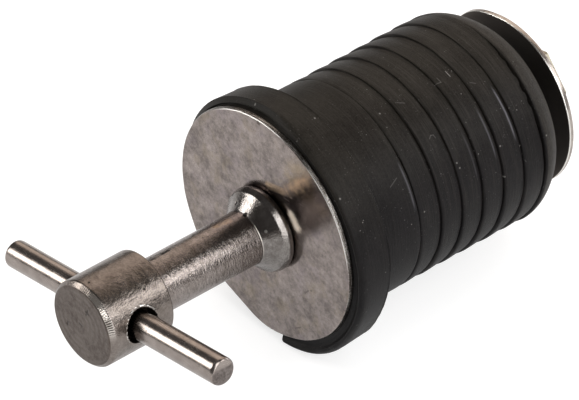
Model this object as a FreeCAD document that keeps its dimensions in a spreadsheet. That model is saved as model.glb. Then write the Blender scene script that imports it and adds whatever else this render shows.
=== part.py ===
import FreeCAD, Part
import Sketcher
import os

# Expansion plug: a turned T-handle pulls a rear disc towards a front washer
# and so squeezes a ringed rubber sleeve until it grips the hole it sits in.
# Every piece is drawn from its own front face, with X along the plug's axis
# towards the rear. The plug's origin is the seat face behind the rubber flange.

# Driving sizes in millimetres, or in degrees where the name ends in angle.
# Clearances are measured on the radius.
driving_sizes = {
    "stock_diameter": 12.7,
    "head_length": 10.7,
    "head_chamfer": 0.7,
    "waist_diameter": 8.0,
    "waist_length": 18.0,
    "collar_rim_length": 1.5,
    "collar_edge_radius": 0.5,
    "stud_diameter": 6.35,
    "stud_length": 51.0,
    "stud_end_chamfer": 0.8,
    "bar_diameter": 4.0,
    "bar_length": 44.6,
    "bar_offset": 0.9,
    "bar_chamfer": 0.4,
    "bar_setback": 5.3,
    "bar_angle": 8.3,
    "countersink_depth": 0.35,
    "front_washer_diameter": 35.0,
    "front_washer_thickness": 0.8,
    "front_washer_edge_chamfer": 0.15,
    "front_washer_clearance": 0.08,
    "flange_diameter": 38.2,
    "flange_thickness": 5.25,
    "flange_front_chamfer": 0.8,
    "flange_rear_chamfer": 0.25,
    "neck_diameter": 32.0,
    "neck_length": 8.3,
    "ring_pitch": 3.9,
    "groove_count": 7,
    "groove_depth": 0.8,
    "groove_mouth_width": 0.7,
    "ring_taper_drop": 0.2,
    "lip_length": 4.4,
    "lip_radius": 4.0,
    "sleeve_bore_clearance": 0.4,
    "rear_gap": 2.6,
    "rear_washer_diameter": 26.5,
    "rear_washer_thickness": 0.8,
    "rear_washer_edge_chamfer": 0.12,
    "rear_washer_clearance": 0.2,
    "nut_across_flats": 11.11,
    "nut_height": 5.6,
    "nut_chamfer_angle": 30.0,
    "nut_thread_clearance": 0.05,
    "nut_corner_angle": 11.0,
    "weld_bead_radius": 1.1,
    "weld_bead_length": 3.2,
}

doc = FreeCAD.newDocument("expansion_plug")
os.makedirs("parts", exist_ok=True)
sheet = doc.addObject("Spreadsheet::Sheet", "Sizes")
for row, (name, size) in enumerate(driving_sizes.items(), start=1):
    sheet.set("A%d" % row, name)
    sheet.set("B%d" % row, str(size))
    sheet.setAlias("B%d" % row, name)
doc.recompute()


def sized(formula):
    """Put the sheet's name in front of every driving size in a formula."""
    words = formula.replace("(", "( ").replace(")", " )").split()
    return " ".join("Sizes." + word if word in driving_sizes else word for word in words)


def new_body(name):
    body = doc.addObject("PartDesign::Body", name)
    body.Label = name
    return body


def origin_plane(body, role):
    return next(item for item in body.Origin.OriginFeatures if item.Role == role)


def new_sketch(body, name, role="XY_Plane"):
    sketch = body.newObject("Sketcher::SketchObject", name)
    sketch.AttachmentSupport = [(origin_plane(body, role), "")]
    sketch.MapMode = "FlatFace"
    return sketch


def draw_outline(sketch, corners):
    """Draw a closed outline through corners given as formulas for x and y.

    A corner may carry a third formula, the radius of an arc that leads on to
    the next corner with its centre on the left.
    """
    points = [FreeCAD.Vector(*(float(sketch.evalExpression(sized(text))) for text in corner[:2]))
              for corner in corners]
    for index, corner in enumerate(corners):
        start = points[index]
        end = points[(index + 1) % len(points)]
        if len(corner) == 2:
            sketch.addGeometry(Part.LineSegment(start, end))
            continue
        radius = float(sketch.evalExpression(sized(corner[2])))
        chord = end - start
        left = FreeCAD.Vector(-chord.y, chord.x).normalize()
        centre = start + chord / 2 + left * (radius ** 2 - (chord.Length / 2) ** 2) ** 0.5
        circle = Part.Circle(centre, FreeCAD.Vector(0, 0, 1), radius)
        sketch.addGeometry(Part.ArcOfCircle(circle, circle.parameter(start), circle.parameter(end)))
        rule = sketch.addConstraint(Sketcher.Constraint("Radius", index, radius))
        sketch.setExpression("Constraints[%d]" % rule, sized(corner[2]))
    for index, corner in enumerate(corners):
        after = (index + 1) % len(corners)
        sketch.addConstraint(Sketcher.Constraint("Coincident", index, 2, after, 1))
        for kind, axis, formula in (("DistanceX", -2, corner[0]), ("DistanceY", -1, corner[1])):
            if formula == "0":
                sketch.addConstraint(Sketcher.Constraint("PointOnObject", index, 1, axis))
                continue
            distance = float(sketch.evalExpression(sized(formula)))
            rule = sketch.addConstraint(Sketcher.Constraint(kind, -1, 1, index, 1, distance))
            sketch.setExpression("Constraints[%d]" % rule, sized(formula))


def revolve(body, name, corners, cut=False):
    """Turn an outline in the XY plane about the plug's axis."""
    sketch = new_sketch(body, name + "_outline")
    draw_outline(sketch, corners)
    feature = body.newObject("PartDesign::Groove" if cut else "PartDesign::Revolution", name)
    feature.Profile = sketch
    feature.ReferenceAxis = (sketch, ["H_Axis"])
    feature.Angle = 360
    doc.recompute()
    return feature


def soften_edges(body, name, kind, size, circles):
    """Round or chamfer the circular edges given as formulas for x and radius."""
    base = body.Tip
    names = []
    for where, radius in circles:
        x = float(body.evalExpression(sized(where)))
        r = float(body.evalExpression(sized(radius)))
        names += ["Edge%d" % number for number, edge in enumerate(base.Shape.Edges, start=1)
                  if isinstance(edge.Curve, Part.Circle) and abs(edge.Curve.Center.x - x) < 1e-5
                  and abs(edge.Curve.Radius - r) < 1e-5]
    feature = body.newObject("PartDesign::" + kind, name)
    feature.Base = (base, names)
    feature.setExpression("Radius" if kind == "Fillet" else "Size", sized(size))
    doc.recompute()
    return feature


def place(piece, x, turn="0 deg"):
    """Put a piece at x along the plug's axis, turned about it."""
    piece.Placement = FreeCAD.Placement(FreeCAD.Vector(), FreeCAD.Rotation(FreeCAD.Vector(1, 0, 0), 1))
    piece.setExpression(".Placement.Base.x", sized(x))
    piece.setExpression(".Placement.Rotation.Angle", sized(turn))


# Places along the axis, as formulas
washer_front = "- ( flange_thickness + front_washer_thickness )"
cone_length = "( stock_diameter - waist_diameter ) / 2"
collar_front = "head_length + waist_length"
collar_rear = collar_front + " + " + cone_length + " + collar_rim_length"
head_front = washer_front + " - ( " + collar_rear + " )"
sleeve_length = "flange_thickness + neck_length + ( groove_count - 1 ) * ring_pitch + lip_length"
rear_washer_front = "neck_length + ( groove_count - 1 ) * ring_pitch + lip_length + rear_gap"
nut_front = rear_washer_front + " + rear_washer_thickness"

# T-handle, turned in one piece: chamfered head, slim waist, 45 degree collar
# with a rounded edge, and the stud that runs on through the sleeve. The cross
# hole through the head has a small countersink at both mouths.
t_handle = new_body("t_handle")
revolve(t_handle, "handle_turning", [
    ("0", "0"),
    ("0", "stock_diameter / 2 - head_chamfer"),
    ("head_chamfer", "stock_diameter / 2"),
    ("head_length", "stock_diameter / 2"),
    ("head_length", "waist_diameter / 2"),
    (collar_front, "waist_diameter / 2"),
    (collar_front + " + " + cone_length, "stock_diameter / 2"),
    (collar_rear, "stock_diameter / 2"),
    (collar_rear, "stud_diameter / 2"),
    (collar_rear + " + stud_length - stud_end_chamfer", "stud_diameter / 2"),
    (collar_rear + " + stud_length", "stud_diameter / 2 - stud_end_chamfer"),
    (collar_rear + " + stud_length", "0"),
])
soften_edges(t_handle, "collar_edge_round", "Fillet", "collar_edge_radius",
             [(collar_front + " + " + cone_length, "stock_diameter / 2")])
hole_sketch = new_sketch(t_handle, "cross_hole_outline")
hole_side = "bar_setback + bar_diameter / 2"
mouth_side = hole_side + " + 2 * countersink_depth"
mouth_floor = "( stock_diameter / 2 - countersink_depth )"
mouth_top = "( stock_diameter / 2 + countersink_depth )"
draw_outline(hole_sketch, [
    ("bar_setback", "- " + mouth_top),
    (mouth_side, "- " + mouth_top),
    (hole_side, "- " + mouth_floor),
    (hole_side, mouth_floor),
    (mouth_side, mouth_top),
    ("bar_setback", mouth_top),
])
cross_hole = t_handle.newObject("PartDesign::Groove", "cross_hole")
cross_hole.Profile = hole_sketch
cross_hole.ReferenceAxis = (hole_sketch, ["Edge6"])
cross_hole.Angle = 360
doc.recompute()
place(t_handle, head_front, "- bar_angle * 1 deg")

# Tommy bar, pressed through the cross hole and chamfered at both ends. It
# stands out a little further on one side of the head.
tommy_bar = new_body("tommy_bar")
bar_sketch = new_sketch(tommy_bar, "bar_circle", "XZ_Plane")
bar_sketch.setExpression(".AttachmentOffset.Base.z", "Sizes.bar_offset")
bar_sketch.addGeometry(
    Part.Circle(FreeCAD.Vector(), FreeCAD.Vector(0, 0, 1), driving_sizes["bar_diameter"] / 2))
bar_sketch.addConstraint(Sketcher.Constraint("Coincident", 0, 3, -1, 1))
rule = bar_sketch.addConstraint(Sketcher.Constraint("Diameter", 0, driving_sizes["bar_diameter"]))
bar_sketch.setExpression("Constraints[%d]" % rule, "Sizes.bar_diameter")
bar_pad = tommy_bar.newObject("PartDesign::Pad", "bar_length")
bar_pad.Profile = bar_sketch
bar_pad.SideType = "Symmetric"
bar_pad.setExpression("Length", "Sizes.bar_length")
doc.recompute()
bar_chamfer = tommy_bar.newObject("PartDesign::Chamfer", "bar_end_chamfers")
bar_chamfer.Base = (bar_pad, ["Edge%d" % number for number, edge in enumerate(bar_pad.Shape.Edges, start=1)
                              if isinstance(edge.Curve, Part.Circle)])
bar_chamfer.setExpression("Size", "Sizes.bar_chamfer")
place(tommy_bar, head_front + " + bar_setback", "- bar_angle * 1 deg")

# Front washer between the collar and the rubber flange.
front_washer = new_body("front_washer")
washer_bore = "stud_diameter / 2 + front_washer_clearance"
revolve(front_washer, "washer_disc", [
    ("0", washer_bore),
    ("0", "front_washer_diameter / 2"),
    ("front_washer_thickness", "front_washer_diameter / 2"),
    ("front_washer_thickness", washer_bore),
])
soften_edges(front_washer, "washer_edge_chamfer", "Chamfer", "front_washer_edge_chamfer",
             [("0", "front_washer_diameter / 2")])
place(front_washer, washer_front)

# Rubber sleeve, moulded in one: thick flange, plain neck, then rings parted by
# narrow V grooves, the last of them a longer lip whose rear edge is rounded in
# three bevels. Each ring is widest just behind its groove and tapers to the
# rear, so it goes in easily and holds against being pulled out.
rubber_sleeve = new_body("rubber_sleeve")
sleeve_bore = "stud_diameter / 2 + sleeve_bore_clearance"
sleeve_outline = [
    ("0", sleeve_bore),
    ("0", "flange_diameter / 2"),
    ("flange_thickness", "flange_diameter / 2"),
    ("flange_thickness", "neck_diameter / 2"),
]
for groove in range(driving_sizes["groove_count"]):
    groove_centre = "flange_thickness + neck_length + %d * ring_pitch" % groove
    before_groove = "neck_diameter / 2 - ring_taper_drop" if groove else "neck_diameter / 2"
    sleeve_outline += [
        (groove_centre + " - groove_mouth_width / 2", before_groove),
        (groove_centre, "neck_diameter / 2 - groove_depth"),
        (groove_centre + " + groove_mouth_width / 2", "neck_diameter / 2"),
    ]
lip_start = sleeve_length + " - lip_radius"
for bevel_turn in (0, 30, 60, 90):
    sleeve_outline.append(("%s + lip_radius * sin( %d deg )" % (lip_start, bevel_turn),
                           "neck_diameter / 2 - lip_radius + lip_radius * cos( %d deg )" % bevel_turn))
sleeve_outline.append((sleeve_length, sleeve_bore))
revolve(rubber_sleeve, "sleeve_moulding", sleeve_outline)
soften_edges(rubber_sleeve, "flange_front_chamfer", "Chamfer", "flange_front_chamfer",
             [("0", "flange_diameter / 2")])
soften_edges(rubber_sleeve, "flange_rear_chamfer", "Chamfer", "flange_rear_chamfer",
             [("flange_thickness", "flange_diameter / 2")])
place(rubber_sleeve, "- flange_thickness")

# Rear disc that presses on the sleeve's end.
rear_washer = new_body("rear_washer")
disc_bore = "stud_diameter / 2 + rear_washer_clearance"
revolve(rear_washer, "rear_disc", [
    ("0", disc_bore),
    ("0", "rear_washer_diameter / 2"),
    ("rear_washer_thickness", "rear_washer_diameter / 2"),
    ("rear_washer_thickness", disc_bore),
])
soften_edges(rear_washer, "rear_disc_edge_chamfer", "Chamfer", "rear_washer_edge_chamfer",
             [("0", "rear_washer_diameter / 2"), ("rear_washer_thickness", "rear_washer_diameter / 2")])
place(rear_washer, rear_washer_front)

# Hexagon nut behind the disc, with its corners turned off at the rear face.
hex_nut = new_body("hex_nut")
nut_prism = hex_nut.newObject("PartDesign::AdditivePrism", "nut_hexagon")
nut_prism.Polygon = 6
nut_prism.setExpression("Circumradius", sized("nut_across_flats / 2 / cos( 30 deg )"))
nut_prism.setExpression("Height", "Sizes.nut_height")
nut_prism.Placement = FreeCAD.Placement(FreeCAD.Vector(), FreeCAD.Rotation(FreeCAD.Vector(1, 1, 1), 120))
doc.recompute()
corner_overhang = "nut_across_flats * ( 1 / cos( 30 deg ) - 1 )"
revolve(hex_nut, "nut_corner_turning", [
    ("nut_height - " + corner_overhang + " * tan( nut_chamfer_angle * 1 deg )",
     "nut_across_flats / 2 + " + corner_overhang),
    ("nut_height", "nut_across_flats / 2"),
    ("nut_height + nut_height / 4", "nut_across_flats / 2"),
    ("nut_height + nut_height / 4", "nut_across_flats / 2 + " + corner_overhang),
], cut=True)
revolve(hex_nut, "nut_bore", [
    ("0", "0"),
    ("0", "stud_diameter / 2 + nut_thread_clearance"),
    ("nut_height", "stud_diameter / 2 + nut_thread_clearance"),
    ("nut_height", "0"),
], cut=True)
place(hex_nut, nut_front, "- nut_corner_angle * 1 deg")

# Two short weld beads, on opposite flats, hold the nut still on the disc.
beads = []
for bead_name, half_turn in (("weld_bead_upper", 0), ("weld_bead_lower", 180)):
    bead = new_body(bead_name)
    bead_sketch = new_sketch(bead, bead_name + "_outline", "XZ_Plane")
    draw_outline(bead_sketch, [
        ("0", "nut_across_flats / 2"),
        ("weld_bead_radius", "nut_across_flats / 2", "weld_bead_radius"),
        ("0", "nut_across_flats / 2 + weld_bead_radius"),
    ])
    bead_pad = bead.newObject("PartDesign::Pad", bead_name + "_length")
    bead_pad.Profile = bead_sketch
    bead_pad.SideType = "Symmetric"
    bead_pad.setExpression("Length", "Sizes.weld_bead_length")
    doc.recompute()
    bead_ends = bead.newObject("PartDesign::Chamfer", bead_name + "_ends")
    bead_ends.Base = (bead_pad, ["Edge%d" % number for number, edge in enumerate(bead_pad.Shape.Edges, start=1)
                                 if isinstance(edge.Curve, Part.Circle)])
    bead_ends.setExpression("Size", "Sizes.weld_bead_radius / 2")
    place(bead, nut_front, "%d deg - nut_corner_angle * 1 deg" % half_turn)
    beads.append(bead)

# Finished shapes are tested before any file is written.
doc.recompute()
pieces = [t_handle, tommy_bar, front_washer, rubber_sleeve, rear_washer, hex_nut] + beads
for item in doc.Objects:
    if "Invalid" in item.State or "Error" in item.State:
        raise RuntimeError("%s did not rebuild: %s" % (item.Name, item.State))
for piece in pieces:
    if piece.Shape.isNull() or not piece.Shape.isValid():
        raise RuntimeError(piece.Label + " has no sound shape")
for piece in pieces:
    piece.Shape.exportStep("parts/%s.step" % piece.Label)
    print(piece.Label, round(piece.Shape.Volume, 1), "cubic mm")
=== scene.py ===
import math

import bpy
import numpy as np
from mathutils import Matrix, Vector


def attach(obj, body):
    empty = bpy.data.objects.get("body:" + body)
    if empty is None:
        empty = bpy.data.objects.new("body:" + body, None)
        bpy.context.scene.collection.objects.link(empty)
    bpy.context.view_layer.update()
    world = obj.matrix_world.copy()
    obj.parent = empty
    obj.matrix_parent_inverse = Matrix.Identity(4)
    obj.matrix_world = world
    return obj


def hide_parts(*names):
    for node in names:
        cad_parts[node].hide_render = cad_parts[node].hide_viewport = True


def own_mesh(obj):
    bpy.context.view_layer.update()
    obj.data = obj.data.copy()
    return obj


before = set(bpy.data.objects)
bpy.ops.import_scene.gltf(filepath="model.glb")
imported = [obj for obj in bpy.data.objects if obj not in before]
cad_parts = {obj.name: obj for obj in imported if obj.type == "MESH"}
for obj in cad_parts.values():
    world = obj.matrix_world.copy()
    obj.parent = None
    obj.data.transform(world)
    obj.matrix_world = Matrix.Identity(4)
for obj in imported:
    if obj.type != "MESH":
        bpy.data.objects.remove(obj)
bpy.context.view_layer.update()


# Rubber sleeve: one black moulding with a thick flange, a plain neck and rings
# parted by narrow creases. Each ring is widest at its front edge and tapers to
# the rear, and the last is a rounded lip. It squashes as the disc is drawn up.
def turned_grid(outline, steps):
    """Points of an outline (x, radius) in mm swept round the plug's axis, and their angles."""
    outline = np.array(outline, float)
    angle = np.linspace(0, 2 * math.pi, steps, endpoint=False)
    x = np.repeat(outline[:, :1], steps, axis=1)
    radius = np.repeat(outline[:, 1:], steps, axis=1)
    return x, radius, np.repeat(angle[None], len(outline), axis=0)


def turned_piece(name, x, radius, angle, ring=False):
    """Mesh of a swept grid in mm. A ring's outline closes on itself, any other ends on the axis."""
    rows, steps = x.shape
    places = np.stack([x, radius * np.cos(angle), radius * np.sin(angle)], axis=-1).reshape(-1, 3) / 1000
    faces = []
    for row in range(rows if ring else rows - 1):
        below, above = row * steps, (row + 1) % rows * steps
        for step in range(steps):
            following = (step + 1) % steps
            faces.append((below + step, below + following, above + following, above + step))
    mesh = bpy.data.meshes.new(name)
    if not ring:
        faces.append(tuple(reversed(range(steps))))
        faces.append(tuple((rows - 1) * steps + step for step in range(steps)))
    mesh.from_pydata(places.tolist(), [], faces)
    mesh.update()
    mesh.shade_smooth()
    mesh.set_sharp_from_angle(angle=math.radians(38))
    piece = bpy.data.objects.new(name, mesh)
    bpy.context.scene.collection.objects.link(piece)
    return piece


def ripple(angle, seed, first, last, fall=1.0):
    """Smooth random variation round a circle, about one unit high, from waves first to last."""
    rng = np.random.default_rng(seed)
    total = np.zeros_like(angle)
    power = 0.0
    for wave in range(first, last + 1):
        height = wave ** -fall
        total += height * np.cos(wave * angle + rng.uniform(0, 2 * math.pi))
        power += height ** 2
    return total / math.sqrt(power)


def arc_points(centre_x, centre_radius, size, start, end, count):
    """Points on an arc of the outline, with angles in degrees from the +x side."""
    turns = np.radians(np.linspace(start, end, count))
    return [(centre_x + size * math.cos(turn), centre_radius + size * math.sin(turn)) for turn in turns]


def hump(angle, centre, reach):
    """1 at an angle in degrees, falling smoothly to 0 at the reach on either side."""
    away = np.abs((np.degrees(angle) - centre + 180) % 360 - 180) / reach
    return np.where(away < 1, 0.5 + 0.5 * np.cos(math.pi * np.minimum(away, 1)), 0.0)


def ramp(value, low, high):
    """0 below low, 1 above high, smooth between."""
    share = np.clip((value - low) / (high - low), 0, 1)
    return share * share * (3 - 2 * share)


sleeve_front = -5.25
sleeve_end = 36.1
sleeve_bore = 3.6
flange_radius = 19.1
neck_radius = 16.0
first_crease = 8.3
ring_pitch = 3.9
ring_radii = (16.0, 16.02, 16.04, 16.08, 16.13, 16.12, 16.27)
ring_fall = 0.2
# Each row of a crease: distance along x, depth where it gapes, depth where it is closed.
crease_shape = ((-0.66, 0.03, 0.0), (-0.46, 0.08, 0.01), (-0.32, 0.17, 0.03), (-0.21, 0.31, 0.06),
                (-0.12, 0.48, 0.1), (-0.05, 0.6, 0.15), (-0.01, 0.62, 0.26), (0.04, 0.52, 0.26),
                (0.08, 0.32, 0.12), (0.15, 0.15, 0.05), (0.28, 0.04, 0.01), (0.42, 0.0, 0.0))
sleeve_outline = [(sleeve_front, sleeve_bore), (sleeve_front, 10.0), (sleeve_front, 17.2)]
ridge_rim = [(-5.24, 17.6), (-5.16, 17.75), (-5.14, 17.95), (-5.2, 18.15), (-5.36, 18.27), (-5.52, 18.38),
             (-5.6, 18.52), (-5.6, 18.66), (-5.5, 18.8), (-5.3, 18.93), (-5.05, 19.04), (-4.75, 19.09)]
plain_rim = [(-5.25, 17.6), (-5.1, 17.66), (-4.78, 17.72), (-4.6, 17.85), (-4.58, 18.0), (-4.68, 18.14),
             (-4.78, 18.24), (-4.74, 18.38), (-4.6, 18.54), (-4.46, 18.72), (-4.32, 18.9), (-4.2, 19.07)]
rim = slice(len(sleeve_outline), len(sleeve_outline) + len(ridge_rim))
sleeve_outline += ridge_rim
sleeve_outline += [(x, flange_radius) for x in (-4.0, -3.7, -3.3, -2.7, -2.1, -1.5, -1.0, -0.6, -0.35, -0.22)]
fin = slice(len(sleeve_outline), len(sleeve_outline) + 4)
sleeve_outline += [(x, flange_radius) for x in (-0.14, -0.08, -0.03)]
sleeve_outline += [(0.0, flange_radius - 0.03), (0.01, 18.95), (0.0, 18.6), (0.0, 17.6), (0.0, 16.6)]
flange_last = len(sleeve_outline)
sleeve_outline += arc_points(0.45, 16.45, 0.45, 185, 265, 5)
sleeve_outline += [(x, neck_radius) for x in (1.0, 2.0, 3.2, 4.4, 5.6, 6.6, 7.3)]
before = neck_radius
crease_rows = []
for number, after in enumerate(ring_radii):
    centre = first_crease + ring_pitch * number
    crease_rows.append(len(sleeve_outline))
    for shift, _, _ in crease_shape:
        sleeve_outline.append((centre + shift, before if shift < 0 else after))
    if number < len(ring_radii) - 1:
        for share in (0.12, 0.25, 0.4, 0.55, 0.7, 0.85, 0.95):
            along = 0.5 + share * (ring_pitch - 1.2)
            sleeve_outline.append((centre + along, after - ring_fall * share ** 1.5))
        before = after - ring_fall
torn_rows = slice(crease_rows[-1] + 2, crease_rows[-1] + 7)
sunk_rows = slice(crease_rows[-1] + 4, crease_rows[-1] + 7)
sleeve_outline += [(32.3, 16.25), (32.7, 16.17), (33.1, 16.05), (33.5, 15.88), (33.9, 15.66), (34.3, 15.39),
                   (34.7, 15.06), (35.05, 14.7), (35.35, 14.3), (35.6, 13.86), (35.8, 13.4), (35.95, 12.9),
                   (36.05, 12.35), (sleeve_end, 11.7)]
lip = slice(crease_rows[-1] + 7, len(sleeve_outline))
sleeve_outline += [(sleeve_end, 9.0), (sleeve_end, 6.0), (sleeve_end - 0.1, 3.9),
                   (sleeve_end - 0.5, sleeve_bore)]
x, radius, angle = turned_grid(sleeve_outline, 480)
turned = np.degrees(angle)
# The moulding is a little out of round, so the flange's outline leans to one side.
lean = np.cos(angle + math.radians(138))
toward_front = np.clip((-x - 0.3) / 4.3, 0, 1)
rim_radius = 18.98 + 0.17 * toward_front + (0.29 + 0.06 * toward_front) * lean
rim_radius += 0.25 * hump(angle, 228, 21)
rim_radius -= (1 - toward_front) * (0.17 * hump(angle, 60, 45) + 0.36 * hump(angle, 196, 32))
on_flange = np.zeros_like(x)
on_flange[:flange_last] = np.clip((radius[:flange_last] - 17.3) / 1.6, 0, 1)
# The front edge stands up as a ridge round one side and ends in a step at the bottom.
step = ramp(turned, 260.5, 263)
raised = (ramp(turned, 78, 125) * (1 - step))[rim]
ridge_x, ridge_r = np.array(ridge_rim).T[:, :, None]
plain_x, plain_r = np.array(plain_rim).T[:, :, None]
crest = 0.4 * hump(angle[rim], -128, 50) + 0.08 * ripple(angle[rim], 5, 3, 40, 0.4)
ridge_x = ridge_x - np.clip(sleeve_front - ridge_x, 0, 1) * crest
x[rim] = plain_x + raised * (ridge_x - plain_x)
radius[rim] = plain_r + raised * (ridge_r - plain_r) + 0.015 * ripple(angle[rim], 6, 3, 30, 0.5)
bulge = 0.34 * hump(angle, -114, 26) * (1 - step)
cut_back = 0.3 * step * (1 - ramp(turned, 300, 340))
radius += on_flange * (rim_radius - flange_radius + toward_front * (bulge - cut_back))
# A thin fin of flash was left round the flange's rear edge, highest at two places.
flash = 0.2 + hump(angle[fin], 95, 16) + 0.8 * hump(angle[fin], 165, 22)
flash += 0.25 * ripple(angle[fin], 8, 5, 60, 0.3)
radius[fin] += np.clip(flash, 0, 1.4) * np.array([0.02, 0.07, 0.09, 0.05])[:, None]
# The creases gape at the top and the bottom and are nearly closed in between.
gaping_depth, closed_depth = np.array(crease_shape).T[1:, :, None]
for number, row in enumerate(crease_rows):
    crease = slice(row, row + len(crease_shape))
    here = angle[crease]
    gaping = 0.85 * hump(here, 228, 48) + 0.75 * hump(here, 38, 32)
    gaping = np.clip(gaping + 0.06 * ripple(here, 60 + number, 2, 14, 0.5), 0, 1)
    closed = (1 - gaping) * (0.08 + 0.92 * ramp(turned[crease], 94, 144))
    closed = closed * (1 + 0.25 * ripple(here, 90 + number, 2, 9))
    radius[crease] -= gaping_depth * gaping + closed_depth * closed
    x[crease] += 0.02 * ripple(here, 20 + number, 3, 30, 0.7)
    radius[crease] += 0.012 * ripple(here, 40 + number, 4, 40, 0.5)
# The last crease, in front of the lip, has a ragged edge that tore out of the mould.
torn_part = 0.15 + 0.85 * hump(angle[0], 125, 40)
ragged = np.tanh(2.5 * ripple(angle[0], 31, 9, 70, 0.35)) * 0.14 + 0.05 * ripple(angle[0], 32, 3, 12)
x[torn_rows] += ragged * torn_part
radius[sunk_rows] -= 0.3 * ramp(turned[0], 100, 130)
radius[lip] -= 0.58 * hump(angle[lip], 72, 52) + 0.22 * hump(angle[lip], 198, 38)
# The rings sit a little off centre, and the whole surface wanders by some hundredths.
on_rings = np.clip(x / 1.5, 0, 1) * (radius > 10)
radius += 0.17 * np.cos(angle + math.radians(136)) * on_rings
radius += 0.02 * ripple(angle + 0.03 * x, 3, 2, 9) * (radius > 15)
# The plug lies on its flange, pressed flat where it touches the floor.
floor_touch = -19.09
radius = np.where(radius * np.sin(angle) < floor_touch, floor_touch / np.minimum(np.sin(angle), -0.5), radius)
rubber_sleeve = turned_piece("rubber_sleeve_moulding", x, radius, angle, ring=True)


class Shade:
    """A socket of a material's nodes. Arithmetic on it adds Math nodes."""

    def __init__(self, tree, socket=None):
        self.tree = tree
        self.socket = socket

    def node(self, kind, settings=None, values=None, out=0):
        made = self.tree.nodes.new(kind)
        for name, setting in (settings or {}).items():
            setattr(made, name, setting)
        for name, value in (values or {}).items():
            if isinstance(value, Shade):
                self.tree.links.new(value.socket, made.inputs[name])
            else:
                made.inputs[name].default_value = value
        return Shade(self.tree, made.outputs[out] if made.outputs else None)

    def math(self, operation, *values):
        return self.node("ShaderNodeMath", {"operation": operation}, dict(enumerate(values)))

    def __add__(self, other):
        return self.math("ADD", self, other)

    def __sub__(self, other):
        return self.math("SUBTRACT", self, other)

    def __rsub__(self, other):
        return self.math("SUBTRACT", other, self)

    def __mul__(self, other):
        return self.math("MULTIPLY", self, other)

    __radd__ = __add__
    __rmul__ = __mul__

    def __abs__(self):
        return self.math("ABSOLUTE", self)

    def larger(self, other):
        """This value or the other, whichever is larger."""
        return self.math("MAXIMUM", self, other)

    def between(self, low, high):
        """0 below low, 1 above high, smooth between."""
        return self.node("ShaderNodeMapRange", {"interpolation_type": "SMOOTHSTEP"},
                         {"Value": self, "From Min": low, "From Max": high})

    def vector_math(self, operation, values, out=0):
        return self.node("ShaderNodeVectorMath", {"operation": operation}, values, out)

    def stretched(self, x, y, z):
        """A vector with its parts multiplied."""
        return self.vector_math("MULTIPLY", {0: self, 1: (x, y, z)})

    def part(self, axis):
        """One part of a vector, X, Y or Z."""
        return self.node("ShaderNodeSeparateXYZ", {}, {0: self}, out=axis)

    def from_axis(self, y=0.0, z=0.0):
        """Distance of a point from the line along x through y and z."""
        return self.vector_math("DISTANCE", {0: self.stretched(0, 1, 1), 1: (0, y, z)}, out="Value")

    def grain(self, scale, detail=2.0, roughness=0.5, w=0.0):
        """Noise from 0 to 1 over this vector. A different w gives a different pattern."""
        return self.node("ShaderNodeTexNoise", {"noise_dimensions": "4D"},
                         {"Vector": self, "W": w, "Scale": scale, "Detail": detail, "Roughness": roughness})

    def colour(self, low, high):
        """The colour low where this value is 0 and high where it is 1."""
        return self.node("ShaderNodeMix", {"data_type": "RGBA"}, {0: self, 6: low, 7: high}, out=2)

    def dots(self, scale, share, size):
        """1 in small round dots, one in some of the cells that this vector's space is split into."""
        away = self.node("ShaderNodeTexVoronoi", {}, {"Vector": self, "Scale": scale}, out="Distance")
        chance = Shade(self.tree, away.socket.node.outputs["Color"])
        picked = chance.node("ShaderNodeSeparateColor", {}, {0: chance}, out="Red")
        return (1 - away.between(size * scale * 0.5, size * scale)) * picked.math("LESS_THAN", picked, share)

    def apart_from_line(self, start, end):
        """Distance from a straight line between two points."""
        start, end = Vector(start), Vector(end)
        from_start = self.vector_math("SUBTRACT", {0: self, 1: start})
        along_line = (end - start) / (end - start).length_squared
        share = self.vector_math("DOT_PRODUCT", {0: from_start, 1: along_line}, out="Value")
        share = share.node("ShaderNodeClamp", {}, {"Value": share})
        foot = self.vector_math("SCALE", {0: end - start, "Scale": share})
        return self.vector_math("DISTANCE", {0: from_start, 1: foot}, out="Value")

    def line(self, start, end, width):
        """1 along a straight line between two points, falling to 0 at half the width."""
        return 1 - self.apart_from_line(start, end).between(width * 0.25, width * 0.5)

    def near(self, centre, size):
        """1 within half the size of a point, falling to 0 at the size."""
        gap = self.vector_math("DISTANCE", {0: self, 1: centre}, out="Value")
        return 1 - gap.between(size * 0.5, size)


def new_finish(name):
    """An empty material, a socket to build from, and the surface point in mm in the plug's frame."""
    material = bpy.data.materials.new(name)
    material.use_nodes = True
    material.node_tree.nodes.clear()
    start = Shade(material.node_tree)
    place = start.node("ShaderNodeTexCoord", out="Object").stretched(1000, 1000, 1000)
    return material, start, place


def close_finish(piece, material, start, values, height, depth_mm):
    """Join colour, roughness and relief to the shader, and give the piece the material."""
    relief = {"Height": height, "Strength": 1.0, "Distance": depth_mm / 1000}
    values["Normal"] = start.node("ShaderNodeBump", {}, relief)
    shader = start.node("ShaderNodeBsdfPrincipled", {}, values)
    start.node("ShaderNodeOutputMaterial", {}, {"Surface": shader})
    piece.data.materials.clear()
    piece.data.materials.append(material)


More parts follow.
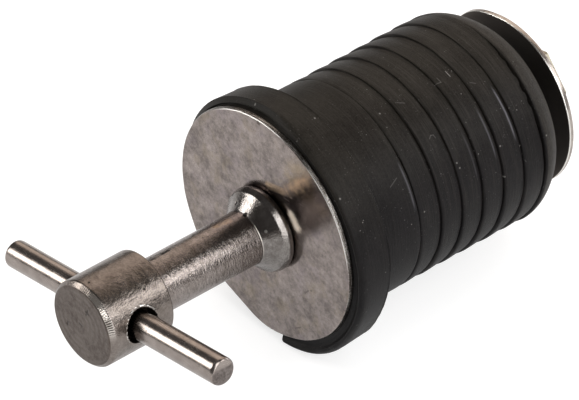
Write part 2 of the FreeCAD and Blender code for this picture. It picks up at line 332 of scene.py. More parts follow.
material, start, place = new_finish("moulded_rubber")
around = start.vector_math("NORMALIZE", {0: place.stretched(0, 1, 1)})
around = start.vector_math("SCALE", {0: around, "Scale": neck_radius})
unrolled = start.vector_math("ADD", {0: around, 1: place.stretched(1, 0, 0)})
mould_lines = unrolled.stretched(5.0, 0.13, 0.13).grain(1.0, 4.0, 0.7)
wisps = place.stretched(3.2, 0.3, 0.3).grain(1.0, 3.0, 0.75, w=5.0).between(0.6, 0.8)
matt_grain = place.grain(7.0, 3.0, 0.65)
bloom = place.grain(0.16, 4.0, 0.6)
dusty = place.grain(0.5, 3.0, 0.6, w=8.0).between(0.42, 0.62)
dust = place.dots(0.9, 0.5, 0.11) * dusty
fine_dust = place.dots(2.4, 0.35, 0.07) * (0.25 + 0.75 * dusty)
curls = place.grain(0.9, 1.0, 0.4, w=9.0)
curl = (1 - abs(curls - 0.5).between(0.0, 0.006)) * place.grain(0.8, 1.0, 0.5, w=10.0).between(0.66, 0.7)


def on_drum(along, degrees):
    """The point at an angle round the plug's axis on a drum as wide as the neck."""
    return along, neck_radius * math.cos(math.radians(degrees)), neck_radius * math.sin(math.radians(degrees))


# Hairs and specks of lint lie where the photo shows them: places along x, and degrees round.
hair_width = 0.15
hairs = unrolled.line(on_drum(22.8, 107.4), on_drum(22.8, 111.2), hair_width)
for hair_start, hair_end in (((14.1, 134.2), (14.6, 133.0)), ((14.6, 133.0), (15.0, 133.4)),
                             ((15.0, 133.4), (15.1, 135.2)), ((20.84, 108.8), (20.89, 111.8)),
                             ((20.89, 111.8), (19.85, 111.4)), ((24.6, 119.2), (25.3, 120.9)),
                             ((13.1, 110.1), (14.07, 112.3)), ((5.0, 145.9), (6.5, 143.4))):
    hairs = unrolled.line(on_drum(*hair_start), on_drum(*hair_end), hair_width) * 0.3 + hairs
for speck in ((9.26, 166), (16.54, 151.2), (16.75, 154.2), (24.0, 170.8), (24.25, 154.2), (27.7, 159.6),
              (32.3, 160.9), (9.78, 111), (-4.46, 77.8), (-0.7, 102.6), (-5.06, 138.2)):
    hairs = unrolled.near(on_drum(*speck), 0.17) * 0.8 + hairs
along = place.part("X")
sheen = 0.0
for sheen_x, turned_to, reach, strength in ((27.2, 141, 4.6, 0.75), (23.2, 146, 4.2, 0.4),
                                            (7.75, 150, 4.0, 0.45), (19.3, 152, 4.0, 0.15)):
    stripe = 1 - abs(along - sheen_x).between(0.05, 0.22)
    sheen = stripe * unrolled.near(on_drum(sheen_x, turned_to), reach) * strength + sheen
specks = (dust * 0.4).larger(fine_dust * 0.2).larger(hairs * 0.4).larger(curl * 0.16)
# Painted light: towards the top the rubber is painted lighter and warmer, and darker and cooler below. The
# combed mould marks fade out downwards with the same share.
upper_lit_share = place.part("Z").between(4.0, 17.0)
speckle = place.grain(4.2, 2.0, 0.8, w=12.0).between(0.3, 0.7)
chalky = bloom.between(0.35, 0.65) * 0.4 + speckle * 0.6
cool = chalky.colour((0.0022, 0.0018, 0.0021, 1), (0.0100, 0.0088, 0.0094, 1))
warm = chalky.colour((0.0045, 0.0036, 0.0026, 1), (0.0185, 0.0160, 0.0127, 1))
top_lit_tone = upper_lit_share.colour(cool, warm)
# The lip band is painted lighter, partly a dusty matt tone and partly a painted sheen on its rolled edge.
on_lip = along.between(31.9, 32.2)
combed = unrolled.stretched(2.3, 0.1, 0.1).grain(1.0, 3.0, 0.8, w=14.0).between(0.5, 0.66) * upper_lit_share
# A painted highlight runs along the lip's rounded rear edge on the lower side.
lip_edge_highlight = along.between(34.2, 34.7) * (1 - along.between(35.3, 35.7))
lip_edge_highlight = lip_edge_highlight * unrolled.near(on_drum(34.9, 170), 8.0)
lines_and_lip_sheen = mould_lines.between(0.45, 0.75) * 0.5 + wisps * 0.5 + on_lip * (0.25 + 0.6 * speckle)
lines_and_lip_sheen = lines_and_lip_sheen + combed * 0.4 + lip_edge_highlight * 0.8
on_neck = 1 - along.between(7.0, 10.0)
streaked = (lines_and_lip_sheen * (1 - 0.45 * on_neck)).colour(top_lit_tone, (0.034, 0.030, 0.026, 1))
shone = sheen.colour(streaked, (0.115, 0.112, 0.125, 1))
dusted = specks.colour(shone, (0.40, 0.38, 0.36, 1))
close_finish(rubber_sleeve, material, start, {
    "Base Color": dusted,
    "Roughness": 0.34 + 0.16 * bloom + 0.12 * matt_grain + 0.1 * wisps,
    "IOR": 1.22,
}, mould_lines * 0.8 + matt_grain * 0.45 + specks * 0.8 + wisps * 0.3, 0.05)
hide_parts("rubber_sleeve")
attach(rubber_sleeve, "sleeve")
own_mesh(rubber_sleeve)


# Front washer: a disc punched from rolled stainless sheet, half bright, with a
# rounded rim that runs a little out of true. It lies on the flange, and the
# collar presses on it.
washer_front = -6.05
washer_rear = -5.25
washer_radius = 17.62
washer_bore = 3.26
washer_off_centre = 0.33
washer_outline = [(washer_rear, washer_bore)]
washer_outline += arc_points(washer_rear - 0.12, washer_radius - 0.12, 0.12, 0, 90, 4)
washer_outline += [(-5.55, washer_radius - 0.005)]
washer_outline += arc_points(washer_front + 0.25, washer_radius - 0.33, 0.25, 110, 180, 7)
washer_outline += [(washer_front + 0.003, washer_radius - 0.7), (washer_front, washer_radius - 1.4),
                   (washer_front, 12.0), (washer_front, 8.0), (washer_front, washer_bore + 0.2),
                   (washer_front + 0.15, washer_bore)]
x, radius, angle = turned_grid(washer_outline[::-1], 360)
off_centre = washer_off_centre * np.cos(angle + math.radians(5))
uneven = 0.22 * hump(angle, -92, 20) - 0.36 * hump(angle, -70, 18)
radius += ramp(radius, 8, 16) * (off_centre + uneven)
on_rim = np.clip((radius - 16.9) / 0.6, 0, 1)
radius += on_rim * 0.015 * ripple(angle, 61, 2, 30, 0.7)
x += on_rim * 0.012 * ripple(angle, 62, 6, 60, 0.4)
front_washer = turned_piece("front_washer_disc", x, radius, angle, ring=True)
material, start, place = new_finish("half_bright_sheet")
inward = washer_radius - place.from_axis(washer_off_centre, -0.03)
rim_side = 1 - inward.between(0.09, 0.14)
# Painted highlight: a thin bright line along the front rim over two stretches.
rim_highlight_places = place.near((-5.6, 3.4, 17.3), 9.0).larger(place.near((-5.6, -14.0, 10.6), 9.5))
rim_highlight_line = (1 - inward.between(0.2, 0.23)) * inward.between(0.1, 0.14) * rim_highlight_places
mottle = place.grain(0.3, 6.0, 0.62)
cloud = place.grain(0.9, 4.0, 0.6, w=3.0)
blotch = place.grain(1.7, 4.0, 0.7, w=4.0)
scratches = place.stretched(1.0, 0.35, 3.2).grain(2.2, 3.0, 0.7, w=5.0)
cross_scratches = place.stretched(1.0, 3.4, 0.5).grain(1.8, 3.0, 0.7, w=6.0)
fine = place.grain(9.0, 2.0, 0.7)
# A yellowish tint near the collar is a painted warm reflection.
straw_reflection = place.near((washer_front, -7.1, 12.1), 4.0) * cloud.between(0.3, 0.6)
marks = place.near((washer_front, 1.36, 17.12), 0.45)
for mark_start, mark_end, width in (((washer_front, -6.2, -14.28), (washer_front, -7.4, -13.4), 0.3),
                                    ((washer_front, -8.28, -6.75), (washer_front, -9.0, -5.9), 0.35),
                                    ((washer_front, -9.52, -5.63), (washer_front, -9.62, -5.5), 0.4)):
    marks = marks.larger(place.line(mark_start, mark_end, width) * 0.6)
grain = place.grain(1.6, 5.0, 0.78, w=14.0)
streaks = place.grain(0.75, 5.0, 0.75, w=15.0)
tone = mottle.between(0.25, 0.75) * 0.36 + grain.between(0.2, 0.8) * 0.39 + streaks.between(0.25, 0.75) * 0.25
grey = tone.colour((0.03, 0.022, 0.019, 1), (0.50, 0.434, 0.408, 1))
olive = (place.grain(0.35, 3.0, 0.6, w=21.0).between(0.5, 0.68) * 0.3).colour(grey, (0.30, 0.245, 0.165, 1))
lilac = (place.grain(0.3, 3.0, 0.6, w=22.0).between(0.5, 0.68) * 0.25).colour(olive, (0.28, 0.235, 0.265, 1))
spotted = (blotch.between(0.56, 0.74) * 0.45 + marks).colour(lilac, (0.12, 0.098, 0.088, 1))
reflection_tinted = (straw_reflection * 0.5).colour(spotted, (0.42, 0.33, 0.22, 1))
rim_marks = place.stretched(9.0, 0.25, 0.25).grain(1.0, 3.0, 0.7, w=7.0)
rim_speckle = (rim_marks * 0.5 + fine * 0.5).between(0.47, 0.62)
rim_tone = rim_speckle.colour((0.07, 0.058, 0.05, 1), (0.75, 0.72, 0.68, 1))
# Painted reflections beside the collar: two warm streaks, and a pale one close to its edge that stands in for
# the collar's bright rim mirrored in the washer.
gilt_reflection = place.line((washer_front, -4.9, 9.2), (washer_front, -8.3, 12.2), 2.6) * cloud.between(0.3, 0.7) * 0.65
gilt_reflection = gilt_reflection.larger(place.line((washer_front, -0.6, 7.5), (washer_front, -3.6, 8.2), 1.6) * 0.6)
reflection_gilded = gilt_reflection.colour(reflection_tinted, (0.60, 0.44, 0.29, 1))
glow_reflection_gap = place.apart_from_line((washer_front, -5.5, 5.1), (washer_front, -6.6, 3.8))
glow_reflection = 1 - (glow_reflection_gap + (grain - 0.5) * 0.9 + (fine - 0.5) * 0.5).between(0.3, 1.3)
reflection_glowing = (glow_reflection * 0.95).colour(reflection_gilded, (0.98, 0.86, 0.72, 1))
edge_highlighted = rim_highlight_line.colour(rim_side.colour(reflection_glowing, rim_tone), (0.97, 0.95, 0.92, 1))
gloss = 0.14 + 0.12 * mottle.between(0.3, 0.7) + 0.06 * scratches.between(0.55, 0.7)
relief = mottle * 0.5 + (scratches.between(0.5, 0.8) + cross_scratches.between(0.5, 0.8)) * 0.06
close_finish(front_washer, material, start, {
    "Base Color": edge_highlighted,
    "Metallic": 1 - (glow_reflection * 0.8).larger(gilt_reflection * 0.4),
    "Roughness": gloss + 0.15 * rim_side + 0.35 * rim_highlight_line,
}, relief + fine * 0.15 + grain * 0.12 + rim_side * rim_marks * 1.5 - 0.6 * marks, 0.03)
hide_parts("front_washer")
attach(front_washer, "sleeve")


# T-handle: head, waist, 45 degree collar and threaded stud turned from one bar
# of stainless, threaded as far as the nut travels. The tool chattered on the
# chamfer and tore the waist. The tommy bar's hole was drilled and countersunk.
head_front = -38.6
head_rear = -27.9
head_radius = 6.42
waist_radius = 4.0
collar_start = -9.9
collar_rear = -6.05
stud_radius = 3.175
stud_end = 44.95
thread_start = 29.0
thread_pitch = 1.27
thread_depth = 0.72
chatter_marks = 116
handle_outline = [(head_front, size) for size in (0.02, 0.6, 1.5, 2.5, 3.5, 4.5)]
face_rows = len(handle_outline)
handle_outline += [(head_front, 5.2), (head_front, 5.5), (head_front + 0.02, 5.62), (head_front + 0.08, 5.7)]
chamfer = slice(len(handle_outline) - 1, len(handle_outline) + 5)
handle_outline += [(head_front + 0.08 + 0.62 * share, 5.7 + 0.66 * share)
                   for share in (0.2, 0.4, 0.6, 0.8, 1.0)]
handle_outline += [(head_front + 0.76, head_radius - 0.02)]
edge_rows = slice(face_rows, len(handle_outline))
handle_outline += [(value, head_radius) for value in np.linspace(head_front + 1.0, head_rear - 0.25, 14)]
handle_outline += [(head_rear - 0.1, head_radius - 0.02), (head_rear - 0.02, head_radius - 0.1),
                   (head_rear, head_radius - 0.25), (head_rear, 5.2), (head_rear, 4.35),
                   (head_rear + 0.06, 4.1), (head_rear + 0.25, waist_radius)]
handle_outline += [(value, waist_radius) for value in np.linspace(head_rear + 0.6, collar_start - 0.4, 9)]
handle_outline += arc_points(collar_start - 0.2, waist_radius + 0.5, 0.5, 270, 315, 6)
handle_outline += [(collar_start + 0.15 + 1.8 * share, 4.15 + 1.82 * share)
                   for share in (0.12, 0.25, 0.4, 0.55, 0.7, 0.85, 0.97)]
handle_outline += [(-7.95, 5.99), (-7.91, 6.03), (-7.7, 6.115), (-7.45, 6.215), (-7.2, 6.31), (-7.08, 6.35),
                   (-6.95, 6.37), (-6.75, 6.35), (-6.5, 6.3), (-6.3, 6.23), (-6.16, 6.14), (-6.08, 6.02),
                   (collar_rear, 5.85), (collar_rear, 5.0), (collar_rear, 3.4), (-6.0, stud_radius)]
handle_outline += [(-5.9, stud_radius), (10.0, stud_radius)]
thread_first = len(handle_outline)
thread_rows = np.arange(thread_start, stud_end - 0.9, thread_pitch / 6)
handle_outline += [(value, stud_radius) for value in thread_rows]
threads = slice(thread_first, len(handle_outline))
handle_outline += [(stud_end - 0.5, stud_radius - 0.35), (stud_end - 0.1, stud_radius - 0.75),
                   (stud_end, stud_radius - 0.9), (stud_end, 1.2), (stud_end, 0.02)]
x, radius, angle = turned_grid(handle_outline, 5 * chatter_marks)
# The chamfer was cut off centre, so it is narrow on one side of the head.
trimmed = 0.58 * (0.5 + 0.5 * np.cos(angle[edge_rows] + math.radians(46)))
radius[edge_rows] += (head_radius - radius[edge_rows]) * trimmed
x[edge_rows] -= (x[edge_rows] - head_front) * trimmed
here = angle[chamfer]
chatter = 0.035 * np.cos(chatter_marks * here + 0.8 * ripple(here, 71, 2, 8))
chatter *= hump(here, 142, 27) ** 0.5 + 0.5 * hump(here, 92, 14) + 0.3 * hump(here, 300, 70)
x[chamfer] -= chatter
radius[chamfer] += chatter
turn = (x[threads] / thread_pitch - angle[threads] / (2 * math.pi)) % 1.0
radius[threads] -= thread_depth * np.clip(1.25 - 2.5 * np.abs(turn - 0.5), 0, 1)
run_out = np.clip((x[threads] - thread_start) / 2.0, 0, 1)
radius[threads] = stud_radius - (stud_radius - radius[threads]) * run_out
t_handle = turned_piece("t_handle_turning", x, radius, angle)


def carve(piece, cutter):
    """Cut one mesh out of another and keep the result as the piece's mesh."""
    cut = piece.modifiers.new("cut", "BOOLEAN")
    cut.operation = "DIFFERENCE"
    cut.solver = "EXACT"
    cut.object = cutter
    bpy.context.view_layer.update()
    made = bpy.data.meshes.new_from_object(piece.evaluated_get(bpy.context.evaluated_depsgraph_get()))
    piece.modifiers.clear()
    piece.data = made
    piece.data.shade_smooth()
    piece.data.set_sharp_from_angle(angle=math.radians(38))
    bpy.data.objects.remove(cutter)


bar_x = -33.3
bar_lift = math.radians(-8.3)
hole_radius = 2.045
hole_side = [(8.0, 0.02), (8.0, 3.2), (6.9, 2.85), (6.4, 2.68), (6.0, 2.58), (5.6, 2.54), (4.6, 2.48),
             (4.45, 2.06), (4.0, hole_radius)]
hole_outline = [(-out, size) for out, size in hole_side] + [(0.0, hole_radius)] + hole_side[::-1]
x, radius, angle = turned_grid(hole_outline, 180)
mouth = np.clip((np.abs(x) - 5.2) / 0.5, 0, 1) * (radius > 1)
radius += mouth * 0.08 * np.cos(26 * angle + ripple(angle, 75, 1, 4))
hole_cutter = turned_piece("hole_cutter", x, radius, angle)
across = Matrix.Rotation(math.pi / 2, 4, "Z")
hole_place = Matrix.Translation((bar_x / 1000, 0, 0)) @ Matrix.Rotation(bar_lift, 4, "X") @ across
hole_cutter.data.transform(hole_place)
carve(t_handle, hole_cutter)
material, start, place = new_finish("turned_steel")
along = place.part("X")
feed = start.node("ShaderNodeCombineXYZ", {}, {0: (along + place.from_axis()) * 5.0})
sweep = start.vector_math("ADD", {0: feed, 1: place.stretched(0, 0.14, 0.14)})
tool_lines = sweep.grain(1.0, 3.0, 0.65)
fine_lines = sweep.grain(3.2, 2.0, 0.6, w=2.0)
on_face = 1 - along.between(head_front + 0.05, head_front + 0.15)
on_head = 1 - along.between(head_rear - 0.05, head_rear + 0.25)
on_collar = along.between(collar_start - 0.25, collar_start)
on_waist = 1 - on_head - on_collar
torn = place.stretched(2.6, 0.9, 0.9).grain(1.3, 3.0, 0.75, w=7.0)
low_head = place.near((-32.0, -7.5, 1.5), 9.0)
dimples = place.grain(1.25, 3.0, 0.6, w=17.0)
small_dimples = place.grain(4.0, 2.0, 0.6, w=18.0)
smudge = place.grain(0.35, 4.0, 0.6, w=11.0)
stain = place.grain(0.9, 4.0, 0.65, w=12.0)
pits = place.dots(0.8, 0.08, 0.12)
for pit, size in (((-31.16, -4.10, 4.85), 0.26), ((-37.07, 0.32, 6.34), 0.22), ((-9.04, 2.56, 4.12), 0.4),
                  ((-7.84, 4.73, 3.79), 0.35), ((-9.84, -0.25, 4.05), 0.45)):
    pits = pits.larger(place.near(pit, size))
for dent_start, dent_end in (((-1.25, 3.4), (-0.85, 2.3)), ((-0.75, 2.9), (-1.3, 2.7)),
                             ((3.1, -1.2), (3.3, -1.9)), ((0.6, 0.0), (0.1, -0.2))):
    dent = place.line((head_front, *dent_start), (head_front, *dent_end), 0.38)
    pits = pits.larger(dent * 0.8)
scratch = 0.0
for scratch_start, scratch_end in (((-34.14, -4.52, 4.46), (-32.70, -4.47, 4.51)),
                                   ((-32.70, -4.47, 4.51), (-31.65, -5.08, 3.81)),
                                   ((-36.16, -5.25, 3.57), (-37.27, -5.73, 2.74)),
                                   ((-35.9, -5.3, 3.5), (-35.88, -5.92, 2.28))):
    scratch = place.line(scratch_start, scratch_end, 0.22) + scratch
dirt = place.line((-25.6, 0.95, 3.88), (-22.6, 1.05, 3.86), 0.7) * stain.between(0.44, 0.54)
# A warm patch on top of the waist is a painted reflection.
warm_reflection_streak = place.line((-14.4, 0.87, 3.90), (-12.4, 0.47, 3.97), 1.6) * stain.between(0.3, 0.6)
bright_speck = place.near((-9.16, -3.71, 2.95), 0.3)
face_rings = start.math("SINE", place.from_axis(0.55, 0.3) * 6.5 + stain * 3.0) * on_face
worn = (smudge * 0.35 + dimples * 0.35 + small_dimples * 0.3).between(0.36, 0.64)
head_grey = worn.colour((0.165, 0.142, 0.126, 1), (0.26, 0.227, 0.208, 1))
waist_grey = worn.colour((0.21, 0.181, 0.164, 1), (0.34, 0.303, 0.286, 1))
polish = (smudge * 0.4 + stain * 0.35 + small_dimples * 0.25).between(0.4, 0.6)
collar_grey = polish.colour((0.15, 0.136, 0.127, 1), (0.28, 0.262, 0.25, 1))
bright = on_collar.colour(on_head.colour(waist_grey, head_grey), collar_grey)
brown = stain.between(0.5, 0.75) * 0.4 * (1 - on_collar) + (0.3 + 0.7 * worn) * on_face
browned = brown.colour(bright, (0.08, 0.062, 0.053, 1))
reflection_golden = (warm_reflection_streak * 0.5).colour(browned, (0.36, 0.26, 0.16, 1))
# The chamfer and the corner between waist and collar catch the light on the near side.
lit_chamfer = place.near((-38.2, -4.3, 4.3), 4.2) * (1 - on_face)
lit_chamfer = lit_chamfer * (1 - along.between(head_front + 0.68, head_front + 0.78))
fillet_line = along.between(-10.03, -9.98) * (1 - along.between(-9.86, -9.8))
fillet_line = fillet_line * place.near((collar_start, -3.4, 2.4), 4.0)
bevelled = (lit_chamfer * 0.9).larger(fillet_line * 0.35).colour(reflection_golden, (0.72, 0.67, 0.62, 1))
hole_end = Vector((0, math.cos(bar_lift), math.sin(bar_lift))) * 9
from_bar = place.apart_from_line(Vector((bar_x, 0, 0)) - hole_end, Vector((bar_x, 0, 0)) + hole_end)
# Inside the tommy bar's hole the steel is painted almost black, painted shade in the bore.
painted_hole_shade = 1 - from_bar.between(2.62, 2.7)
round_mouth = from_bar.between(2.68, 2.72) * (1 - from_bar.between(2.84, 2.92))
# Bright dots round the hole's mouth are painted glints on its scalloped, burred edge.
burr_glints = place.grain(3.0, 1.0, 0.5, w=31.0).between(0.47, 0.55) * round_mouth
burr_glints = burr_glints * place.near((-34.4, -5.6, 3.0), 4.4)
darkened = (pits * 0.8 + dirt * 0.9 + painted_hole_shade * 0.97).colour(bevelled, (0.02, 0.016, 0.013, 1))
speckled = (bright_speck * 0.9).larger(burr_glints * 0.95).colour(darkened, (0.9, 0.88, 0.84, 1))
turned_relief = tool_lines * 0.25 * (1 - 0.75 * on_collar) + fine_lines * 0.12 * (1 - 0.7 * on_collar)
dented = dimples * ((0.7 + 0.8 * low_head) * on_head * (1 - on_face) + 0.35 * on_collar) + small_dimples * 0.4
face_relief = face_rings * 0.16 + stain * 0.8 * on_face
close_finish(t_handle, material, start, {
    "Base Color": speckled,
    "Metallic": 1.0,
    "Roughness": 0.22 - 0.06 * on_collar - 0.07 * on_waist + 0.08 * smudge + 0.1 * on_face + 0.4 * painted_hole_shade,
}, turned_relief + dented + face_relief + torn * on_waist * 1.5 + scratch * 0.4 - 0.7 * pits, 0.07)
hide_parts("t_handle")
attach(t_handle, "handle")


# Tommy bar: a length of polished stainless rod, chamfered at both ends and
# pressed through the head, a little further out on the near side.
bar_radius = 2.03
bar_half = 22.3
bar_shift = -0.9
bar_outline = [(inward - bar_half, size) for inward, size in (
    (0.0, 0.02), (0.0, 0.8), (0.0, 1.65), (0.02, 1.73), (0.07, 1.79), (0.22, 1.94), (0.3, 1.99),
    (0.42, bar_radius - 0.01), (0.6, bar_radius))]
bar_outline += [(value, bar_radius) for value in np.linspace(-bar_half + 1.2, 0, 16)]
bar_outline += [(-value, size) for value, size in bar_outline[-2::-1]]
x, radius, angle = turned_grid(bar_outline, 96)
x += (np.abs(x) > bar_half - 0.5) * 0.012 * ripple(angle, 81, 1, 6)
x = np.clip(x, -bar_half, bar_half) + bar_shift
tommy_bar = turned_piece("tommy_bar_rod", x, radius, angle)
tommy_bar.data.transform(hole_place)
material, start, place = new_finish("polished_rod")
haze = place.grain(0.5, 4.0, 0.6)
draw_lines = place.stretched(6.0, 0.12, 5.0).grain(1.0, 3.0, 0.6)
nicks = place.stretched(1.0, 0.5, 1.0).grain(3.0, 1.0, 0.5, w=2.0).between(0.73, 0.77)
end_face = abs(place.part("Y") - bar_shift).between(bar_half - 0.4, bar_half - 0.3)
grey = haze.between(0.3, 0.7).colour((0.275, 0.238, 0.217, 1), (0.355, 0.313, 0.289, 1))
saw_marks = place.grain(1.8, 4.0, 0.75, w=5.0).between(0.3, 0.7)
sawn = saw_marks.colour((0.10, 0.085, 0.078, 1), (0.27, 0.238, 0.225, 1))
# Near the head the rod is painted dark, a painted reflection of the dark head and hole.
painted_root_shade = 1 - place.from_axis().between(6.6, 9.2)
nicked_and_root_shaded = (nicks * 0.7).larger(painted_root_shade * 0.85).colour(end_face.colour(grey, sawn), (0.07, 0.055, 0.045, 1))
close_finish(tommy_bar, material, start, {
    "Base Color": nicked_and_root_shaded,
    "Metallic": 1.0,
    "Roughness": 0.17 + 0.12 * haze + 0.08 * draw_lines.between(0.5, 0.75) + 0.2 * end_face,
}, draw_lines * 0.25 + nicks * -0.8 + haze * 0.3, 0.02)
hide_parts("tommy_bar")
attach(tommy_bar, "handle")


# Rear disc: a smaller disc of the same sheet, punched off centre, which the nut
# draws against the sleeve's end. Its front face is dull and painted dark, painted
# shade from the gap at the rubber, and its rim is bright, with a painted highlight
# along the front edge.
disc_front = 38.7
disc_rear = 39.5
disc_radius = 13.25
disc_off_centre = 0.42
disc_bore = 3.38
disc_outline = [(disc_rear, disc_bore)]
disc_outline += arc_points(disc_rear - 0.16, disc_radius - 0.16, 0.16, 0, 90, 5)
disc_outline += arc_points(disc_front + 0.16, disc_radius - 0.16, 0.16, 90, 180, 5)
disc_outline += [(disc_front, disc_radius - 0.8), (disc_front, 8.0), (disc_front, disc_bore)]
x, radius, angle = turned_grid(disc_outline[::-1], 240)
off_centre = disc_off_centre * np.cos(angle - math.radians(172))
radius += ramp(radius, 4, 12) * (off_centre + 0.26 * hump(angle, 57, 24))
rear_disc = turned_piece("rear_washer_disc", x, radius, angle, ring=True)
material, start, place = new_finish("bright_disc_sheet")
mottle = place.grain(0.5, 5.0, 0.6)
punch_lines = place.stretched(6.0, 0.9, 0.9).grain(1.0, 3.0, 0.6, w=2.0)
along = place.part("X")
# Painted highlight on the front edge, and painted shade on the front face.
disc_edge_highlight = 1 - along.between(disc_front + 0.16, disc_front + 0.26)
rear_rim = mottle.between(0.3, 0.7).colour((0.30, 0.265, 0.25, 1), (0.52, 0.47, 0.43, 1))
grey = disc_edge_highlight.colour(rear_rim, (0.8, 0.78, 0.74, 1))
shaded_front_face = 1 - along.between(disc_front + 0.005, disc_front + 0.03)
shade_darkened = shaded_front_face.colour(grey, (0.17, 0.15, 0.135, 1))
gloss = 0.2 + 0.15 * mottle + 0.1 * punch_lines.between(0.5, 0.8)
close_finish(rear_disc, material, start, {
    "Base Color": shade_darkened,
    "Metallic": 1.0,
    "Roughness": gloss * (1 - shaded_front_face) + 0.5 * shaded_front_face,
}, (mottle * 0.6 + punch_lines * 0.5) * (1 - shaded_front_face), 0.03)
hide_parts("rear_washer")
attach(rear_disc, "rear_plate")


# Hexagon nut on the stud behind the disc: pressed and tapped, with its corners
# hardly turned off. Two weld beads keep it from turning on the disc.
nut_front = 39.5
nut_rear = 45.1
nut_flat = 5.555
nut_bore = 3.22
nut_turn = math.radians(-11.0)
around = np.linspace(0, 2 * math.pi, 216, endpoint=False)
from_flat = math.pi / 6 - np.abs((around + math.pi / 6) % (math.pi / 3) - math.pi / 6)
edge = np.minimum(nut_flat / np.cos(from_flat), nut_flat / math.cos(math.pi / 6) - 0.06)
nut_profile = ((nut_front + 0.35, nut_bore), (nut_front, nut_bore + 0.35), (nut_front, 4.4),
               (nut_front, edge - 0.1), (nut_front + 0.1, edge), (nut_front + 2.0, edge),
               (nut_rear - 2.0, edge), (nut_rear - 0.1, edge), (nut_rear, edge - 0.12), (nut_rear, 4.6),
               (nut_rear, nut_bore + 0.4), (nut_rear - 0.4, nut_bore), (nut_rear - 2.0, nut_bore),
               (nut_front + 2.0, nut_bore))
x = np.stack([np.full_like(around, row_x) for row_x, size in nut_profile])
radius = np.stack([np.zeros_like(around) + size for row_x, size in nut_profile])
angle = np.stack([around + nut_turn + math.pi] * len(nut_profile))
hex_nut = turned_piece("hex_nut_body", x, radius, angle, ring=True)
material, start, place = new_finish("plain_nut_steel")
scale_marks = place.grain(1.1, 4.0, 0.6)
rolled = place.stretched(0.6, 3.0, 3.0).grain(1.6, 3.0, 0.6, w=2.0)
grey = scale_marks.between(0.35, 0.7).colour((0.32, 0.29, 0.225, 1), (0.44, 0.41, 0.345, 1))
close_finish(hex_nut, material, start, {
    "Base Color": grey,
    "Metallic": 1.0,
    "Roughness": 0.34 + 0.16 * scale_marks,
}, scale_marks * 0.7 + rolled * 0.4, 0.05)
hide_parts("hex_nut")
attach(hex_nut, "rear_plate")


# Weld beads: two short tacks in the corner between disc and nut, each a row of
# overlapping ripples with a little heat tint.
bead_half = 1.6
bead_radius = 1.023
bead_depth = 0.4
bead_outline = [(-bead_half * math.cos(step), max(bead_radius * math.sin(step) ** 0.7, 0.01))
                for step in np.linspace(0, math.pi, 28)]
beads = []
for bead_name, half_turn in (("weld_bead_upper", 0.0), ("weld_bead_lower", math.pi)):
    x, radius, angle = turned_grid(bead_outline, 40)
    radius *= 1 + 0.05 * np.cos(x * 9.0 + 0.8 * np.cos(angle))
    sunk = radius * np.cos(angle) > bead_depth
    radius = np.where(sunk, bead_depth / np.maximum(np.cos(angle), 0.3), radius)
    bead = turned_piece(bead_name + "_tack", x, radius, angle)
    to_corner = Matrix.Translation((nut_front / 1000, 0, nut_flat / 1000))
    bead.data.transform(Matrix.Rotation(half_turn + nut_turn, 4, "X") @ to_corner @ across)
    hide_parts(bead_name)
    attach(bead, "rear_plate")
    beads.append(bead)
material, start, place = new_finish("tack_weld")
frozen = place.grain(2.5, 3.0, 0.6)
tint = place.grain(0.8, 2.0, 0.5, w=3.0).between(0.35, 0.65)
close_finish(beads[0], material, start, {
    "Base Color": tint.colour((0.30, 0.27, 0.23, 1), (0.36, 0.29, 0.20, 1)),
    "Metallic": 1.0,
    "Roughness": 0.32 + 0.2 * frozen,
}, frozen, 0.05)
beads[1].data.materials.append(material)


# Camera: long lens above the handle's end, with the plug's axis running away
# to the upper right of the image.
photo_width = 579
focal_length_in_pixels = 5374.9
washer_centre = Vector((-6.0375, 0, 0)) / 1000
azimuth = math.radians(-41.14)
elevation = math.radians(38.20)
to_right = Vector((math.cos(azimuth), math.sin(azimuth), 0))
level = Vector((-math.sin(azimuth), math.cos(azimuth), 0))
forward = level * math.cos(elevation) - Vector((0, 0, 1)) * math.sin(elevation)
upward = level * math.sin(elevation) + Vector((0, 0, 1)) * math.cos(elevation)
washer_right, washer_up, washer_away = -3.305, -3.623, 739.75
eye = washer_centre - (to_right * washer_right + upward * washer_up + forward * washer_away) / 1000
camera_data = bpy.data.cameras.new("camera")
camera_data.sensor_width = 36.0
camera_data.lens = focal_length_in_pixels / photo_width * camera_data.sensor_width
camera_data.clip_start = 0.01
camera_data.clip_end = 20.0
camera = bpy.data.objects.new("camera", camera_data)
camera.rotation_mode = "QUATERNION"
camera.location = eye
camera.rotation_quaternion = forward.to_track_quat("-Z", "Y")
bpy.context.scene.collection.objects.link(camera)
bpy.context.scene.camera = camera


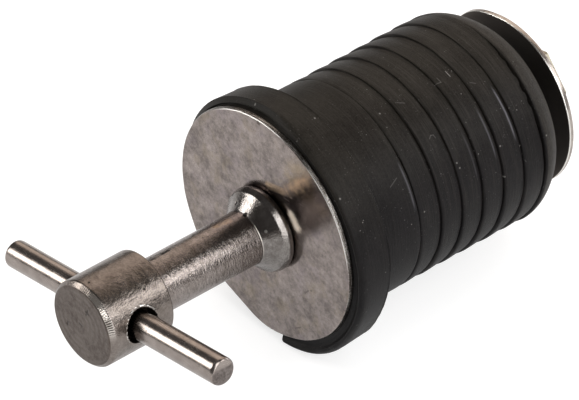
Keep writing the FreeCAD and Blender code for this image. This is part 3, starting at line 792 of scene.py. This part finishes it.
# Floor and light: a pale floor under the flange, a broad lamp overhead that the
# metal doesn't mirror, softboxes and a tall front panel that draw the bright
# bands on the metal, and a warm panel far behind.
floor_gap = 0.00002
floor_level = min(vertex.co.z for vertex in rubber_sleeve.data.vertices) - floor_gap
floor_corners = [(x, y, floor_level) for x, y in ((-6, -6), (6, -6), (6, 6), (-6, 6))]
floor_mesh = bpy.data.meshes.new("floor")
floor_mesh.from_pydata(floor_corners, [], [(0, 1, 2, 3)])
floor = bpy.data.objects.new("floor", floor_mesh)
bpy.context.scene.collection.objects.link(floor)
material, start, place = new_finish("pale_floor")
shown = start.node("ShaderNodeLightPath", out="Is Camera Ray")
mirrored = start.node("ShaderNodeLightPath", out="Is Glossy Ray")
passed = start.node("ShaderNodeLightPath", out="Is Transmission Ray")
seen = (shown * 0.7).larger(mirrored.larger(passed) * 0.42)
floor_shader = start.node("ShaderNodeBsdfPrincipled", {}, {
    "Base Color": (0.45, 0.45, 0.45, 1), "Roughness": 0.9, "Specular IOR Level": 0.1,
    "Emission Color": (1, 1, 1, 1), "Emission Strength": seen})
start.node("ShaderNodeOutputMaterial", {}, {"Surface": floor_shader})
floor_mesh.materials.append(material)
world = bpy.data.worlds.new("studio")
world.use_nodes = True
world.node_tree.nodes["Background"].inputs["Color"].default_value = (0.115, 0.11, 0.107, 1)
world.node_tree.nodes["Background"].inputs["Strength"].default_value = 1.0
bpy.context.scene.world = world
# Each lamp: degrees round and up, metres away, width, height, brightness, colour,
# and whether metal mirrors it.
lamps = (
    ("overhead", 20, 80, 1.2, 1.4, 1.4, 1.75, (1, 1, 1), False),
    ("left_softbox", 130, 24, 0.8, 0.3, 0.34, 7.2, (1, 0.98, 0.95), True),
    ("right_softbox", -49, 31, 0.8, 0.5, 0.36, 3.6, (1, 0.99, 0.98), True),
    ("front_panel", -98, 31, 0.8, 0.42, 0.9, 3.8, (1, 1, 1), True),
    ("rear_softbox", -8, 12, 0.8, 0.26, 0.22, 2.4, (0.95, 0.97, 1), True),
    ("far_panel", 30, 36, 0.9, 1.1, 0.8, 1.1, (1, 0.86, 0.74), True),
)
for lamp_name, turn, rise, away, wide, high, radiance, lamp_colour, mirrored_too in lamps:
    lamp_data = bpy.data.lights.new(lamp_name, "AREA")
    lamp_data.shape = "RECTANGLE"
    lamp_data.size = wide
    lamp_data.size_y = high
    lamp_data.color = lamp_colour
    lamp_data.energy = radiance * math.pi * wide * high
    lamp = bpy.data.objects.new(lamp_name, lamp_data)
    turn, rise = math.radians(turn), math.radians(rise)
    toward = Vector((math.cos(turn) * math.cos(rise), math.sin(turn) * math.cos(rise), math.sin(rise)))
    lamp.location = toward * away
    lamp.rotation_mode = "QUATERNION"
    lamp.rotation_quaternion = (-toward).to_track_quat("-Z", "Y")
    lamp.visible_glossy = mirrored_too
    lamp.visible_camera = False
    bpy.context.scene.collection.objects.link(lamp)
bpy.context.scene.view_settings.view_transform = "Standard"
